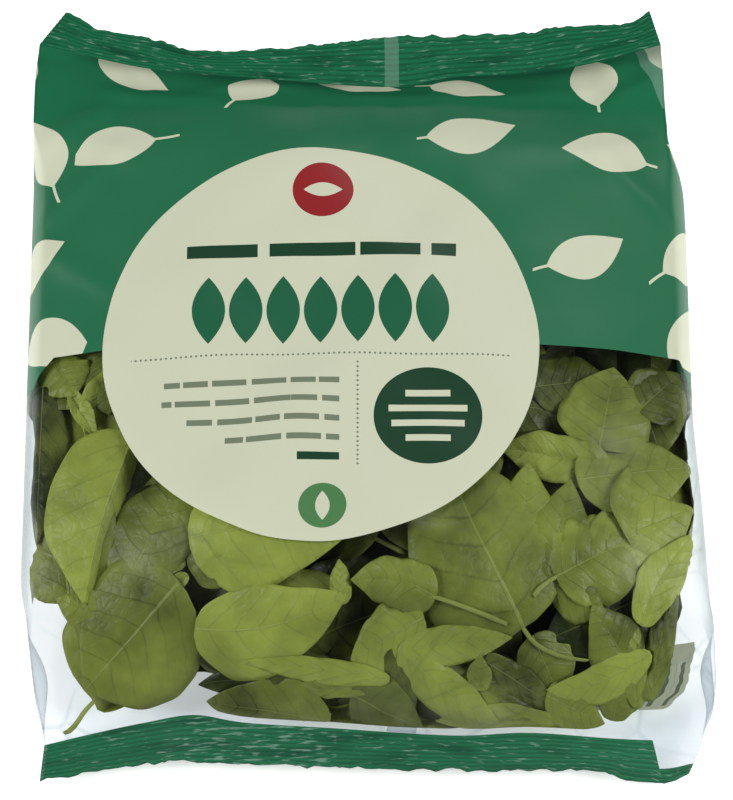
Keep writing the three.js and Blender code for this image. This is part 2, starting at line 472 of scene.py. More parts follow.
def triangles(quads):
    """Each quad split from its first corner to its third."""
    return np.concatenate([quads[:, [0, 1, 2]], quads[:, [0, 2, 3]]])


def shell_faces(rows, columns):
    """Triangles of the top and the bottom of a sheet, split alike, and of the rim between them."""
    count = rows * columns
    top = triangles(grid_faces(rows, columns, closed=False))
    grid = np.arange(count).reshape(rows, columns)
    loop = np.concatenate([grid[0, :-1], grid[:-1, -1], grid[-1, :0:-1], grid[:0:-1, 0]])
    after = np.roll(loop, -1)
    rim_first = np.stack([after, loop, loop + count], 1)
    rim_second = np.stack([after, loop + count, after + count], 1)
    return np.concatenate([top, top[:, ::-1] + count, rim_first, rim_second])


def add_piece(name, points, faces, material, attributes=(), uv=None):
    """A smooth mesh piece of points in mm, with float attributes on its points, riding on the bag."""
    mesh = bpy.data.meshes.new(name)
    mesh.from_pydata(np.asarray(points).reshape(-1, 3) * MM, [], [list(face) for face in faces])
    mesh.polygons.foreach_set("use_smooth", np.ones(len(mesh.polygons), bool))
    for label, values in attributes:
        layer = mesh.attributes.new(label, "FLOAT", "POINT")
        layer.data.foreach_set("value", np.asarray(values, np.float32).ravel())
    if uv is not None:
        uv_name, uv_values = uv
        loops = np.empty(len(mesh.loops), np.int32)
        mesh.loops.foreach_get("vertex_index", loops)
        uv_loops = uv_values.reshape(-1, 2)[loops].astype(np.float32)
        mesh.uv_layers.new(name=uv_name).data.foreach_set("uv", uv_loops.ravel())
    mesh.materials.append(material)
    mesh.validate()
    piece = add_object(name, mesh)
    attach(piece, "root")
    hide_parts("bag")
    print(name, "has", len(mesh.polygons), "faces")
    return piece


# %% Where the film lies in a seal, where painted shade falls beside the top seal, and where it is crumpled
# How far into a seal each row lies: 0 in the body, rising to 1 at the seal's cut edge
into_seal = np.zeros(film_points.shape[:2])
into_seal[:seal_rows] = seal_share[:0:-1, None]
into_seal[-seal_rows:] = seal_share[1:, None]
# Beside the top seal the film is gathered in uneven patches, which lie in shadow: that shadow is painted
# shade, darkening the print there
film_x, film_y = film_points[..., 0], film_points[..., 1]
to_top_seal = np.linalg.norm(film_points - film_points[-seal_rows - 1], axis=-1)
seal_shade_reach = 13.0 + 9.0 * noise(film_x, film_y * 0.5, 19.0, 31)
painted_seal_shade = fall(to_top_seal, seal_shade_reach) ** 0.6
painted_seal_shade *= smooth(noise(film_x, film_y * 2.0, 24.0, 32), -0.7, 0.3)
painted_seal_shade[-seal_rows:] = 0.0
# The bare corner at the bottom right is crumpled, which makes it duller
crumpled_corner, crumpled_reach = (110.0, -124.0), 52.0
corner_distance = np.hypot(film_x - crumpled_corner[0], film_y - crumpled_corner[1])
crumpled = fall(corner_distance, crumpled_reach) * (0.75 + 0.25 * noise(film_x, film_y, 7.0, 33))
print("share of the film that is gathered:", round(float((painted_seal_shade > 0).mean()), 3))

# %% [markdown]
# ## Printed film
# The film is clear where the leaves show and printed green above and on both seals. The print
# could be an image, but simple shapes stay sharp at any size: each is a distance worked out from
# the flat millimetres U and V. A small class lets such a distance be written as plain arithmetic,
# and every operation becomes one Math node.

# %% Arithmetic that makes Math nodes
class Field:
    """A number that varies over a surface, held as a socket of a node tree."""

    def __init__(self, tree, socket):
        self.tree, self.socket = tree, socket

    def math(self, operation, *others):
        """The result of a Math node fed with this field and the others."""
        node = self.tree.nodes.new("ShaderNodeMath")
        node.operation = operation
        for socket, value in zip(node.inputs, (self, *others)):
            feed(self.tree, socket, value)
        return Field(self.tree, node.outputs[0])

    def __add__(self, other):
        return self.math("ADD", other)

    def __sub__(self, other):
        return self.math("SUBTRACT", other)

    def __rsub__(self, other):
        return self * -1.0 + other

    def __mul__(self, other):
        return self.math("MULTIPLY", other)

    def __truediv__(self, other):
        return self.math("DIVIDE", other)

    def above(self, level):
        """1 where the field is above the level, otherwise 0."""
        return self.math("GREATER_THAN", level)

    def below(self, level):
        return self.math("LESS_THAN", level)

    def squared(self):
        return self.math("MULTIPLY", self)

    def size(self):
        return self.math("ABSOLUTE")

    def either(self, other):
        return self.math("MAXIMUM", other)

    def between(self, low, high):
        """The field held between two levels."""
        return self.math("MAXIMUM", low).math("MINIMUM", high)


# %% Nodes as numbers, colours and shaders
def node_field(tree, kind, output, settings=None, **inputs):
    """One output of a new node, as a Field."""
    return Field(tree, add_node(tree, kind, settings, **inputs).outputs[output])


def mixed_colour(tree, share, low, high):
    """A colour going from low to high with the share; low and high are colours or sockets."""
    node = add_node(tree, "ShaderNodeMix", {"data_type": "RGBA"})
    # The colour mix has its colours at inputs 6 and 7 and its result at output 2
    for number, value in ((0, share), (6, low), (7, high)):
        feed(tree, node.inputs[number], value)
    return node.outputs[2]


def mixed_shader(tree, share, first, second):
    """A shader going from the first to the second node's shader with the share."""
    node = tree.nodes.new("ShaderNodeMixShader")
    for socket, value in zip(node.inputs, (share, first, second)):
        feed(tree, socket, value)
    return node.outputs[0]


def parts_of(tree, vector):
    """The x and y of a vector socket, as Fields."""
    node = add_node(tree, "ShaderNodeSeparateXYZ", Vector=vector)
    return Field(tree, node.outputs[0]), Field(tree, node.outputs[1])


def vector_of(tree, x, y):
    """A vector socket put together from two Fields."""
    return add_node(tree, "ShaderNodeCombineXYZ", X=x, Y=y).outputs[0]


def uv_fields(tree, name):
    """U and V of a named map, as Fields."""
    return parts_of(tree, add_node(tree, "ShaderNodeUVMap", {"uv_map": name}).outputs[0])


def object_place(tree):
    """Object coordinates, which are metres in the frame."""
    return tree.nodes.new("ShaderNodeTexCoord").outputs["Object"]


def noise_field(tree, vector, scale, detail):
    """Noise texture from 0 to 1 over a vector."""
    return node_field(tree, "ShaderNodeTexNoise", 0, Vector=vector, Scale=scale, Detail=detail)


def edge_field(tree, vector, scale):
    """Distance to the nearest edge between the cells of a cell texture."""
    feature = {"feature": "DISTANCE_TO_EDGE"}
    return node_field(tree, "ShaderNodeTexVoronoi", 0, feature, Vector=vector, Scale=scale)


def attribute_field(tree, name):
    """A piece's float attribute as a Field."""
    return node_field(tree, "ShaderNodeAttribute", "Fac", {"attribute_name": name})


# %% Shapes of the print, in flat millimetres
print_edge = 1.0
# The border drops where the film turns over into the sides, from this distance on and this far
edge_turn, edge_run, edge_drop = 114.0, 9.0, 10.0
label_centre, label_radius = (-17.0, 0.5), 78.6
print_green = srgb(34, 110, 74)
cream = srgb(211, 215, 189)
badge_green = srgb(22, 64, 40)
title_green = srgb(28, 98, 66)
text_grey = srgb(118, 130, 106)
mark_red = srgb(148, 34, 38)
stamp_green = srgb(78, 130, 80)
scuff_green = srgb(150, 185, 168)
# The darker green of painted shade: in the crimp's grooves, over the seals' crinkles and beside the top
# seal
painted_shade_green = srgb(20, 66, 46)
plate_centre, plate_half = (78.0, -107.0), (29.0, 13.0)
# The print on the bottom seal stops short of the right end: there the seal's inner share is bare
bottom_print_end, bare_slant, bare_share = 101.0, 4.0, 0.66
# Middles and half widths, across the bag, of the scuffs and of the back seal behind the top seal
scuffed_middle, scuffed_half = -38.0, 27.0
band_middle, band_half = 9.0, 2.6
# Where the ink's gloss ends toward the top seal, over which length, and how strong it is
gloss_end, gloss_run, ink_gloss = 106.0, 26.0, 0.35
back_middle = float(flat_across[middle_row, seam_column] + film_points[middle_row, seam_column, 0])
print("flat distance from the front's middle to the back's, mm:", round(back_middle))


def disc(u, v, centre, radius):
    """1 inside a circle: the squared distance from its centre is below the radius squared."""
    return ((u - centre[0]).squared() + (v - centre[1]).squared()).below(radius**2)


def bar(u, v, left, right, middle, height):
    """1 inside a bar: within half its width and half its height of its middle."""
    wide = (u - (left + right) / 2).size().below((right - left) / 2)
    return wide * (v - middle).size().below(height / 2)


def leaf_oval(p, q, half_length, fullness):
    """1 inside a pointed oval: |q| is below the fullness times 1 - (p / half length) squared."""
    share = (p / half_length).squared()
    return (1.0 - share - q.size() / fullness).above(0.0)


def any_of(shapes):
    """1 where at least one of the shapes is 1."""
    result = shapes[0]
    for shape in shapes[1:]:
        result = result.either(shape)
    return result


def leaf_scatter(tree, u, v):
    """One turned leaf in each cell of a loose grid: a pointed oval with a thin curved stem."""
    cell = 41.0
    place = vector_of(tree, u / cell + 0.31, v / cell + 0.12)
    flat = {"voronoi_dimensions": "2D"}
    cells = add_node(tree, "ShaderNodeTexVoronoi", flat, Vector=place, Scale=1.0, Randomness=0.45)
    offset = add_node(tree, "ShaderNodeVectorMath", {"operation": "SUBTRACT"})
    feed(tree, offset.inputs[0], place)
    feed(tree, offset.inputs[1], cells.outputs["Position"])
    from_middle, up_from_middle = parts_of(tree, offset.outputs[0])
    chance = add_node(tree, "ShaderNodeSeparateColor", Color=cells.outputs["Color"])
    x, y = from_middle * cell, up_from_middle * cell
    angle = Field(tree, chance.outputs[0]) * (2 * math.pi)
    cosine, sine = angle.math("COSINE"), angle.math("SINE")
    p = x * cosine + y * sine
    q = y * cosine - x * sine
    half = Field(tree, chance.outputs[1]) * 3.0 + 15.5
    q = q + p.squared() * 0.008
    blade = ((1.0 - (p / half).squared()) * half * (p * 0.008 + 0.54) - q.size()).above(0.0)
    stem = (q - (p - 14.0).squared() * 0.02).size().below(0.55) * (p - 19.0).size().below(6.5)
    centre_u, centre_v = u - x - label_centre[0], v - y - label_centre[1]
    beside_disc = (centre_u.squared() + centre_v.squared()).above((label_radius + 14.0) ** 2)
    return blade.either(stem) * beside_disc


# %% Labels of the front and the back
def word_bars(u, v, left, right, middle, height, word):
    """A bar broken into uneven dashes by the sum of two sines."""
    long_wave = (u * (2 * math.pi / word)).math("SINE")
    short_wave = (u * (2 * math.pi / (word * 0.37)) + middle).math("SINE")
    return bar(u, v, left, right, middle, height) * (long_wave + short_wave * 0.6).above(-1.1)


def label_print(tree, u, v, ground):
    """The cream disc with its generic marks, painted over the ground colour in order."""
    inside = disc(u, v, label_centre, label_radius)
    colour = mixed_colour(tree, inside, ground, cream)
    title_row = [leaf_oval(v - 13.5, u - (-57.0 + 13.4 * i), 13.5, 6.0) for i in range(7)]
    small_words = [word_bars(u, v, left, -10.0, middle, 2.3, 13.0) for left, middle in (
        (-73.0, -15.5), (-74.0, -23.0), (-65.0, -30.5), (-51.0, -38.0))]
    dots_across = ((u / 1.83).math("FRACT") - 0.5).squared() + ((v + 4.5) / 1.83).squared()
    dots_down = ((v / 1.83).math("FRACT") - 0.5).squared() + ((u + 3.5) / 1.83).squared()
    dotted = (dots_across.below(0.055) * (u + 17.0).size().below(68.0)).either(
        dots_down.below(0.055) * (v + 28.0).size().below(21.0))
    for shape, paint in (
        (disc(u, v, (-16.0, 61.5), 11.0), mark_red),
        (leaf_oval(u + 16.0, v - 61.5, 7.0, 2.8), cream),
        (word_bars(u, v, -65.0, 32.0, 37.5, 5.2, 31.0), badge_green),
        (any_of(title_row), title_green),
        (dotted, text_grey),
        (any_of(small_words), text_grey),
        (bar(u, v, -25.0, -10.0, -45.5, 3.0), badge_green),
        (disc(u, v, (21.5, -29.0), 19.3), badge_green),
        (any_of([bar(u, v, 21.5 - half, 21.5 + half, middle, 2.6) for half, middle in (
            (8.0, -20.0), (14.0, -26.0), (13.0, -32.0), (8.0, -38.0))]), cream),
        (disc(u, v, (-16.0, -64.5), 8.6), stamp_green),
        (leaf_oval(v + 64.5, u + 16.0, 5.6, 2.6), cream),
    ):
        colour = mixed_colour(tree, shape, colour, paint)
    return inside, colour


def back_label(u, v, back_side):
    """A pale label with plain bars, low on the back; u is the back's own x."""
    left, right = plate_centre[0] - plate_half[0], plate_centre[0] + plate_half[0]
    plate = bar(u, v, left, right, plate_centre[1], 2 * plate_half[1]) * back_side
    stripes = ((u * 1.1).math("SINE") + (u * 2.3).math("SINE")).above(0.1)
    return plate, bar(u, v, 76.0, 105.0, -110.0, 17.0) * stripes * back_side


# %% Colour, cover and gloss of the ink
def print_colour(tree):
    """Where ink covers the film, its colour with its painted shade, and its gloss, all from the flat
    millimetres.
    """
    u_metres, v_metres = uv_fields(tree, "flat")
    u, v = u_metres / MM, v_metres / MM
    into = attribute_field(tree, "into_seal")
    back = attribute_field(tree, "back_share").above(0.5)
    bare_end = (u - into * bare_slant).above(bottom_print_end)
    bare_end = bare_end * u.below(back_middle - bottom_print_end)
    bare_end = bare_end * v.below(0.0) * into.below(bare_share)
    seal = into.above(0.002) * (1.0 - bare_end)
    turned = ((u.size() - edge_turn) / edge_run).between(0.0, 1.0)
    upper = (v + turned * edge_drop).above(print_edge)
    outside_seal = 1.0 - seal
    scatter = leaf_scatter(tree, u, v) * upper * outside_seal
    stretched = vector_of(tree, u * 0.16, v * 0.9)
    scuff = noise_field(tree, stretched, 1.0, 2.0)
    # Most scuffs are on the bottom seal's left half, and the back seal shows through the top one
    scuffed = (u - scuffed_middle).size().below(scuffed_half) * v.below(0.0)
    scuff = ((scuff - 0.6 + scuffed * 0.07) * 4.0).between(0.0, 0.5) * seal
    scuff = scuff.either((u - band_middle).size().below(band_half) * v.above(0.0) * seal * 0.28)
    # Painted shade in the grooves between the crimp's ridges
    groove_shade = (into * (2 * math.pi * ridge_count)).math("COSINE").either(0.0) * seal
    # A folded corner beside the top seal, where one layer of ink lets the light through
    corner = (u - 101.0 + (v - 130.0) * 0.34).above(0.0) * v.above(106.0) * u.below(116.0)
    ground = mixed_colour(tree, scatter, print_green, cream)
    ground = mixed_colour(tree, groove_shade * 0.5, ground, painted_shade_green)
    ground = mixed_colour(tree, corner * outside_seal * 0.33, ground, scuff_green)
    # Painted shade in soft patches over the seals, where their film is crinkled
    crinkle_shade = noise_field(tree, stretched, 0.22, 1.0)
    ground = mixed_colour(tree, ((crinkle_shade - 0.5) * 3.0).either(0.0) * seal, ground, painted_shade_green)
    ground = mixed_colour(tree, scuff, ground, scuff_green)
    inside, colour = label_print(tree, u, v, ground)
    plate, code = back_label(back_middle - u, v, back)
    colour = mixed_colour(tree, plate, colour, cream)
    colour = mixed_colour(tree, code, colour, text_grey)
    # Painted shade over ink and print alike, where the film is gathered beside the top seal
    colour = mixed_colour(tree, attribute_field(tree, "painted_seal_shade") * 0.62, colour, painted_shade_green)
    cover = any_of([upper, seal, inside * (1.0 - back), plate])
    # Where the film is gathered into the top seal its fine creases take the gloss away
    gloss = ((gloss_end - v) / gloss_run).between(0.0, 1.0) * ink_gloss
    return cover, colour, gloss


# %% [markdown]
# ## Clear film and ink
# The bare film is clear with a soft shine, and the ink on it is satin and lets some light through.
# A glass shader would bend the view of the leaves, which film this thin doesn't do. So the bare
# film is plain transparency with a soft mirror mixed in, which is also quicker to render.

# %% Film materials
# Gloss of the clear film: seen straight on, added at a grazing view, and added by its loose veils
straight_gloss, grazing_gloss, veil_gloss = 0.008, 0.85, 0.14
film_tint, oblique_tint = (0.882, 0.9, 0.918, 1.0), (0.55, 0.62, 0.65, 1.0)


def film_bump(tree, crease_height):
    """Soft swells and fine straight creases of thin film, as a normal; also the creases' lines."""
    place = object_place(tree)
    soft = noise_field(tree, place, 30.0, 2.0)
    crease = edge_field(tree, place, 30.0)
    height = soft * 1.5 + crease.math("POWER", 0.5) * crease_height
    bump = add_node(tree, "ShaderNodeBump", Strength=0.5, Distance=0.0012, Height=height)
    patchy = noise_field(tree, place, 22.0, 1.0)
    line = (crease * -28.0 + 1.0).either(0.0) * ((patchy - 0.45) * 4.0).either(0.0)
    return bump.outputs[0], line


def clear_film(tree, normal, crease):
    """Bare film: transparent, with a soft mirror reflection; creases take a little light."""
    mirror = add_node(tree, "ShaderNodeBsdfAnisotropic", Roughness=0.24, Normal=normal)
    grazing = node_field(tree, "ShaderNodeLayerWeight", "Facing", Blend=0.5, Normal=normal)
    # The gloss grows with (1 - cos) to the 5th, alike from both sides
    gloss = grazing.math("POWER", 5.0) * grazing_gloss + straight_gloss
    # Soft veils, where the film lies loose above the leaves
    veil = noise_field(tree, object_place(tree), 20.0, 1.0)
    gloss = gloss + ((veil - 0.52) * veil_gloss).either(0.0)
    # Seen along the film, light passes through more of it
    oblique = grazing.math("POWER", 2.3) + crease * 0.42 + attribute_field(tree, "crumpled") * 0.4
    tint = mixed_colour(tree, oblique, film_tint, oblique_tint)
    clear = add_node(tree, "ShaderNodeBsdfTransparent", Color=tint)
    return mixed_shader(tree, gloss, clear.outputs[0], mirror.outputs[0])


def satin(tree, colour, roughness, gloss, normal):
    """A satin surface as a shader; gloss scales its reflection."""
    return add_node(
        tree, "ShaderNodeBsdfPrincipled", Base_Color=colour, Roughness=roughness,
        Specular_IOR_Level=gloss, Normal=normal,
    ).outputs[0]


def ink_film(tree, normal, colour, gloss):
    """Printed film: satin ink that lets some light through to its other side."""
    ink = satin(tree, colour, 0.4, gloss, normal)
    through = add_node(tree, "ShaderNodeBsdfTranslucent", Color=colour)
    return mixed_shader(tree, 0.15, ink, through.outputs[0])


def film_material(name, bare, printed):
    """Film that is bare, printed or, where both meet in a face, mixed by the ink's cover."""
    material, tree, output = new_material(name)
    normal, crease = film_bump(tree, 0.12 if printed else 0.4)
    if bare:
        shader = clear_film(tree, normal, crease)
    if printed:
        cover, colour, gloss = print_colour(tree)
        ink = ink_film(tree, normal, colour, gloss)
        shader = mixed_shader(tree, cover, shader, ink) if bare else ink
    tree.links.new(shader, output.inputs[0])
    print(name, "has", len(tree.nodes), "nodes")
    return material


# %% [markdown]
# ## The film as one piece
# The film is one tube, pressed flat at both ends. It could be cut along the edge of the print, but
# the cuts would have to match. Instead each face is bare or printed, and only the faces that the
# edge may cross get the mixed material, because that one takes longest to render.

# %% Film piece
def ink_faces(faces, margin=1.5):
    """Material number of each face: 0 bare, 1 printed, 2 where the print's edge may cross it.

    Depth is how far a face lies inside the print, in mm; the largest depth of all shapes counts.
    """
    u, v = flat_across.ravel()[faces].mean(1), flat_along.ravel()[faces].mean(1)
    on_back = back_share.ravel()[faces].max(1) > 0.5
    in_seal = into_seal.ravel()[faces]
    disc_depth = label_radius - np.hypot(u - label_centre[0], v - label_centre[1])
    plate_u, plate_v = back_middle - u - plate_centre[0], v - plate_centre[1]
    plate_depth = np.minimum(plate_half[0] - np.abs(plate_u), plate_half[1] - np.abs(plate_v))
    border = print_edge - edge_drop * np.clip((np.abs(u) - edge_turn) / edge_run, 0, 1)
    depth = np.maximum(v - border, np.where(on_back, plate_depth, disc_depth))
    touches_seal, deep = in_seal.max(1) > 0, 9.0
    depth = np.maximum(depth, np.where(in_seal.min(1) > 0, deep, np.where(touches_seal, 0.0, -deep)))
    depth = np.where(touches_seal & (v < 0) & (u > bottom_print_end - 2), 0.0, depth)
    return np.where(depth > margin, 1, np.where(depth < -margin, 0, 2))


def cut_end_faces(row, turn):
    """Faces that close one cut end: each step of the front's edge joined to the back's edge below."""
    first = row * film_points.shape[1]
    front = first + np.arange(front_columns + 1)
    partner = np.rint((1 - front_across) / 2 * back_columns).astype(int)
    back = first + front_columns + gusset_columns + partner
    quads = np.stack([front[:-1], front[1:], back[1:], back[:-1]], -1)[:, ::turn]
    return [list(dict.fromkeys(quad)) for quad in quads.tolist()]


film_faces = grid_faces(*film_points.shape[:2], closed=True)
end_faces = cut_end_faces(0, -1) + cut_end_faces(len(film_points) - 1, 1)
back_share = np.broadcast_to((around_side < -0.5) * 1.0, into_seal.shape)
flat_uv = np.stack([flat_across, flat_along], -1) * MM
bare_film = film_material("clear_film", True, False)
full_print = film_material("printed_film", False, True)
print_edge_film = film_material("print_edge_film", True, True)
film = add_piece(
    "film", film_points, film_faces.tolist() + end_faces, bare_film,
    attributes=[
        ("into_seal", into_seal), ("back_share", back_share),
        ("painted_seal_shade", painted_seal_shade), ("crumpled", crumpled),
    ],
    uv=("flat", flat_uv),
)
film.data.materials.append(full_print)
film.data.materials.append(print_edge_film)
face_inks = np.concatenate([ink_faces(film_faces), np.ones(len(end_faces), int)])
film.data.polygons.foreach_set("material_index", face_inks.astype(np.int32))
print("faces bare, printed, mixed:", np.bincount(face_inks))

# %% [markdown]
# ## Back seal
# Down the back the film's two edges are pressed together and laid flat. The strip could be folded
# out of the tube's own grid, but a thin closed shell just under the film is simpler, and it
# follows the film because its points are the film's own.

# %% Back seal
strip_gap, strip_thickness = 0.05, 0.5
strip_columns = slice(seal_column + seal_columns - 1, seal_column - 1, -1)
seal_patch = (slice(seal_rows, seal_rows + body_rows + 1), strip_columns)
seal_top = film_points[seal_patch] - (0, 0, strip_gap)
seal_bottom = film_points[seal_patch] - (0, 0, strip_gap + strip_thickness)
seal_size = seal_top.shape[:2]
# The print goes on over the strip, so its flat distance is taken from its own x
seal_uv = np.stack([back_middle - seal_top[..., 0], flat_along[seal_patch]], -1) * MM
add_piece(
    "back_seal", np.stack([seal_top, seal_bottom]), shell_faces(*seal_size), print_edge_film,
    attributes=[("into_seal", np.zeros((2, *seal_size))), ("back_share", np.ones((2, *seal_size)))],
    uv=("flat", np.stack([seal_uv, seal_uv])),
)
print("back seal from x", seal_top[..., 0].min().round(1), "to", seal_top[..., 0].max().round(1))

# %% [markdown]
# ## Room for the leaves
# Leaves could be dropped in by a simulation, but the photo shows where the big ones lie, so each
# is placed one by one under the film instead. Rays cast from above and from below give the film's two
# heights, and every leaf is held softly between them.

# %% Height maps of the film
map_cell = 2.0
under_bag, over_bag = -50.0, 150.0
outside_height = 20.0


def film_heights(points, faces):
    """Film heights seen from above and from below, on a square grid over the bag's box."""
    tree = BVHTree.FromPolygons(points.reshape(-1, 3).tolist(), faces.tolist())
    xs = np.arange(bag_low[0], bag_high[0] + map_cell, map_cell)
    ys = np.arange(bag_low[1], bag_high[1] + map_cell, map_cell)
    heights = np.full((2, len(ys), len(xs)), np.nan)
    for row, y in enumerate(ys):
        for column, x in enumerate(xs):
            for face, start, way in ((0, under_bag, 1.0), (1, over_bag, -1.0)):
                hit = tree.ray_cast((x, y, start), (0, 0, way))[0]
                heights[face, row, column] = np.nan if hit is None else hit.z
    return xs, ys, np.nan_to_num(heights, nan=outside_height)


def read_map(heights, x, y):
    """Bilinear reading of a height map at x, y."""
    fx = np.clip((x - map_xs[0]) / map_cell, 0, len(map_xs) - 1.001)
    fy = np.clip((y - map_ys[0]) / map_cell, 0, len(map_ys) - 1.001)
    ix, iy = fx.astype(int), fy.astype(int)

    def corner(i, j):
        return heights[iy + j, ix + i]

    return blend_corners(corner, fx - ix, fy - iy)


map_xs, map_ys, (low_map, high_map) = film_heights(film_points, film_faces)
body_film = film_points[seal_rows : seal_rows + body_rows + 1]
# A gusset's middle column is its furthest out, or its deepest where it is folded in
right_wall = body_film[:, front_columns + gusset_columns // 2]
left_wall = body_film[:, -gusset_columns // 2]
print("film height in the middle, mm:", round(float(read_map(high_map, np.array(0.0), np.array(0.0))), 1))

# %% [markdown]
# ## Leaf model
# A leaf is a thin closed shell: a blade that is widest two fifths of the way up, cupped, waved at
# its margin and sometimes folded along the midrib; some have a round stem. Both faces of the
# shell are split into the same triangles, so that they never cross.

# %% Leaf description
@dataclass
class Leaf:
    """Blade from base to tip, in mm and radians; tone is its lightness, partly its own and partly painted
    shade, and painted_half_light is the painted light that one half has more than the other.

    Bend curves the midrib, tilt and pitch slope the blade across and along, cup and wave shape its
    margin, swell puffs it up between the veins, fold turns up each half, and sway curves the stem.
    Level is the height as a share of the room; with level None it hangs a depth below the front.
    """

    base: tuple
    tip: tuple
    width: float
    depth: float = 2.0
    tone: float = 0.5
    bend: float = 0.0
    tilt: float = 0.0
    pitch: float = 0.0
    cup: float = -1.5
    wave: float = 0.8
    swell: float = 0.5
    painted_half_light: float = 0.0
    fold: tuple = (0.0, 0.0)
    stem: float = 0.0
    sway: float = 0.0
    level: float = None
    cover: float = 0.3
    seed: float = 0.0


print(Leaf((0, 0), (40, 0), 25))

# %% Keeping leaves inside the film
leaf_thickness = 0.45
# Gaps left free beside the side walls, at the bottom seal and above the back film
wall_gap, seal_gap, floor_gap = 4.5, 2.5, 0.5
# No leaf reaches past this y toward the top seal, and stems keep this far below the front film
heap_end, stem_depth = 112.0, 2.2


def hold(value, low, high, soft=1.2):
    """Value kept between low and high by (t + sqrt(t t + soft soft)) / 2 at each end."""
    above = value - low
    value = low + (above + np.sqrt(above**2 + soft**2)) / 2
    below = high - value
    return high - (below + np.sqrt(below**2 + soft**2)) / 2


def settle(x, y, z, downward, cover=0.3):
    """Points held inside the film; what crosses a side wall bends along it instead."""
    seal_end = np.interp(x, bottom_inner[:, 0], bottom_inner[:, 1]) + to_frame[1] + seal_gap
    y = hold(y, seal_end, heap_end, 1.5)
    gap = wall_gap + 2.0 * noise(y, 0, 13.0, 21)
    left = np.interp(y, left_wall[:, 1], left_wall[:, 0]) + gap
    right = np.interp(y, right_wall[:, 1], right_wall[:, 0]) - gap
    inside = np.clip(x, left, right)
    z = z - downward * np.abs(x - inside)
    low = read_map(low_map, inside, y) + floor_gap + leaf_thickness
    high = read_map(high_map, inside, y) - cover - leaf_thickness
    high = np.maximum(high, low + 0.2)
    return np.stack([inside, y, np.clip(hold(z, low, high, 0.8), low, high)], -1)


print("100 mm held below 60 mm:", round(float(hold(100.0, 0.0, 60.0)), 2))

# %% Blade of a leaf
# Side veins: how many, how far each runs ahead on its way out, and the power that arches it
vein_count, vein_slant, vein_curve = 6.0, 1.7, 1.25


def leaf_axes(leaf):
    """The blade's base, its length and the unit directions ahead and aside."""
    base, tip = np.array(leaf.base, float), np.array(leaf.tip, float)
    length = np.linalg.norm(tip - base)
    ahead = (tip - base) / length
    return base, length, ahead, np.array([-ahead[1], ahead[0]])


def leaf_sheet(leaf, along, across):
    """Middle surface of the blade: half width W/2 sin(pi u^0.78)^(0.5 + 0.4 u), blunt at the base
    and pointed at the tip. Also its shares along and across, which place the veins."""
    u = np.linspace(0.003, 0.998, along + 1)[:, None]
    t = np.linspace(-1, 1, across + 1)[None, :]
    s = np.sign(t) * np.abs(t) ** 1.25
    base, length, ahead, aside = leaf_axes(leaf)
    broad = np.sin(np.pi * u**0.78) ** (0.5 + 0.4 * u)
    margin = 1 + 0.05 * np.sin(9 * u + leaf.seed) + 0.012 * np.sin(23 * u + 3 * s + leaf.seed)
    flat = s * broad * leaf.width / 2 * margin
    across_share = flat / (leaf.width / 2)
    fold = np.where(s > 0, leaf.fold[0], leaf.fold[1])
    q = flat * np.cos(fold)
    spine = base + ahead * length * u + aside * leaf.bend * length * np.sin(np.pi * u)
    slope = leaf.bend * np.pi * np.cos(np.pi * u)
    turn = np.sqrt(1 + slope**2)
    x = spine[:, :1] + (aside[0] - slope * ahead[0]) / turn * q
    y = spine[:, 1:] + (aside[1] - slope * ahead[1]) / turn * q
    ripple = np.sin(2 * np.pi * (1.7 * u + leaf.seed) + 1.5 * np.sign(s))
    ripple = ripple + 0.5 * np.sin(2 * np.pi * (4.1 * u - leaf.seed))
    # The blade swells between its side veins, which are where the material draws them
    vein_phase = vein_count * u - vein_slant * np.abs(across_share) ** vein_curve
    between_veins = np.abs(np.cos(np.pi * vein_phase))
    quilt = between_veins * (1 - s**2) * np.minimum(1, 5 * np.abs(across_share))
    relief = (
        np.abs(flat) * np.sin(fold)
        + leaf.tilt * s * broad
        + leaf.cup * s**2 * broad
        + leaf.wave * np.abs(s) ** 1.6 * broad * ripple
        + leaf.swell * quilt * broad
        + leaf.pitch * (u - 0.5)
        - 0.35 * np.exp(-((flat / 0.9) ** 2)) * (1 - u)
    )
    return x, y, relief, np.broadcast_to(u, x.shape), across_share


def leaf_height(leaf, x, y, relief):
    """Height of the sheet: at its level between the two films, or hung below the front film."""
    if leaf.level is None:
        return read_map(high_map, x, y) - leaf.depth + relief - relief.max()
    low, high = read_map(low_map, x, y), read_map(high_map, x, y)
    return low + (high - low) * leaf.level + relief


def sheet_normals(sheet):
    """Unit normals of a grid of points, from the cross product of its two directions."""
    normal = np.cross(np.gradient(sheet, axis=1), np.gradient(sheet, axis=0))
    normal /= np.linalg.norm(normal, axis=-1, keepdims=True) + 1e-9
    return normal * np.where(normal[..., 2:].mean() < 0, -1, 1)


sample_y = leaf_sheet(Leaf((0, 0), (40, 0), 25), 36, 20)[1]
print("a blade of width 25 is", round(float(np.ptp(sample_y)), 1), "mm wide with its wavy margin")


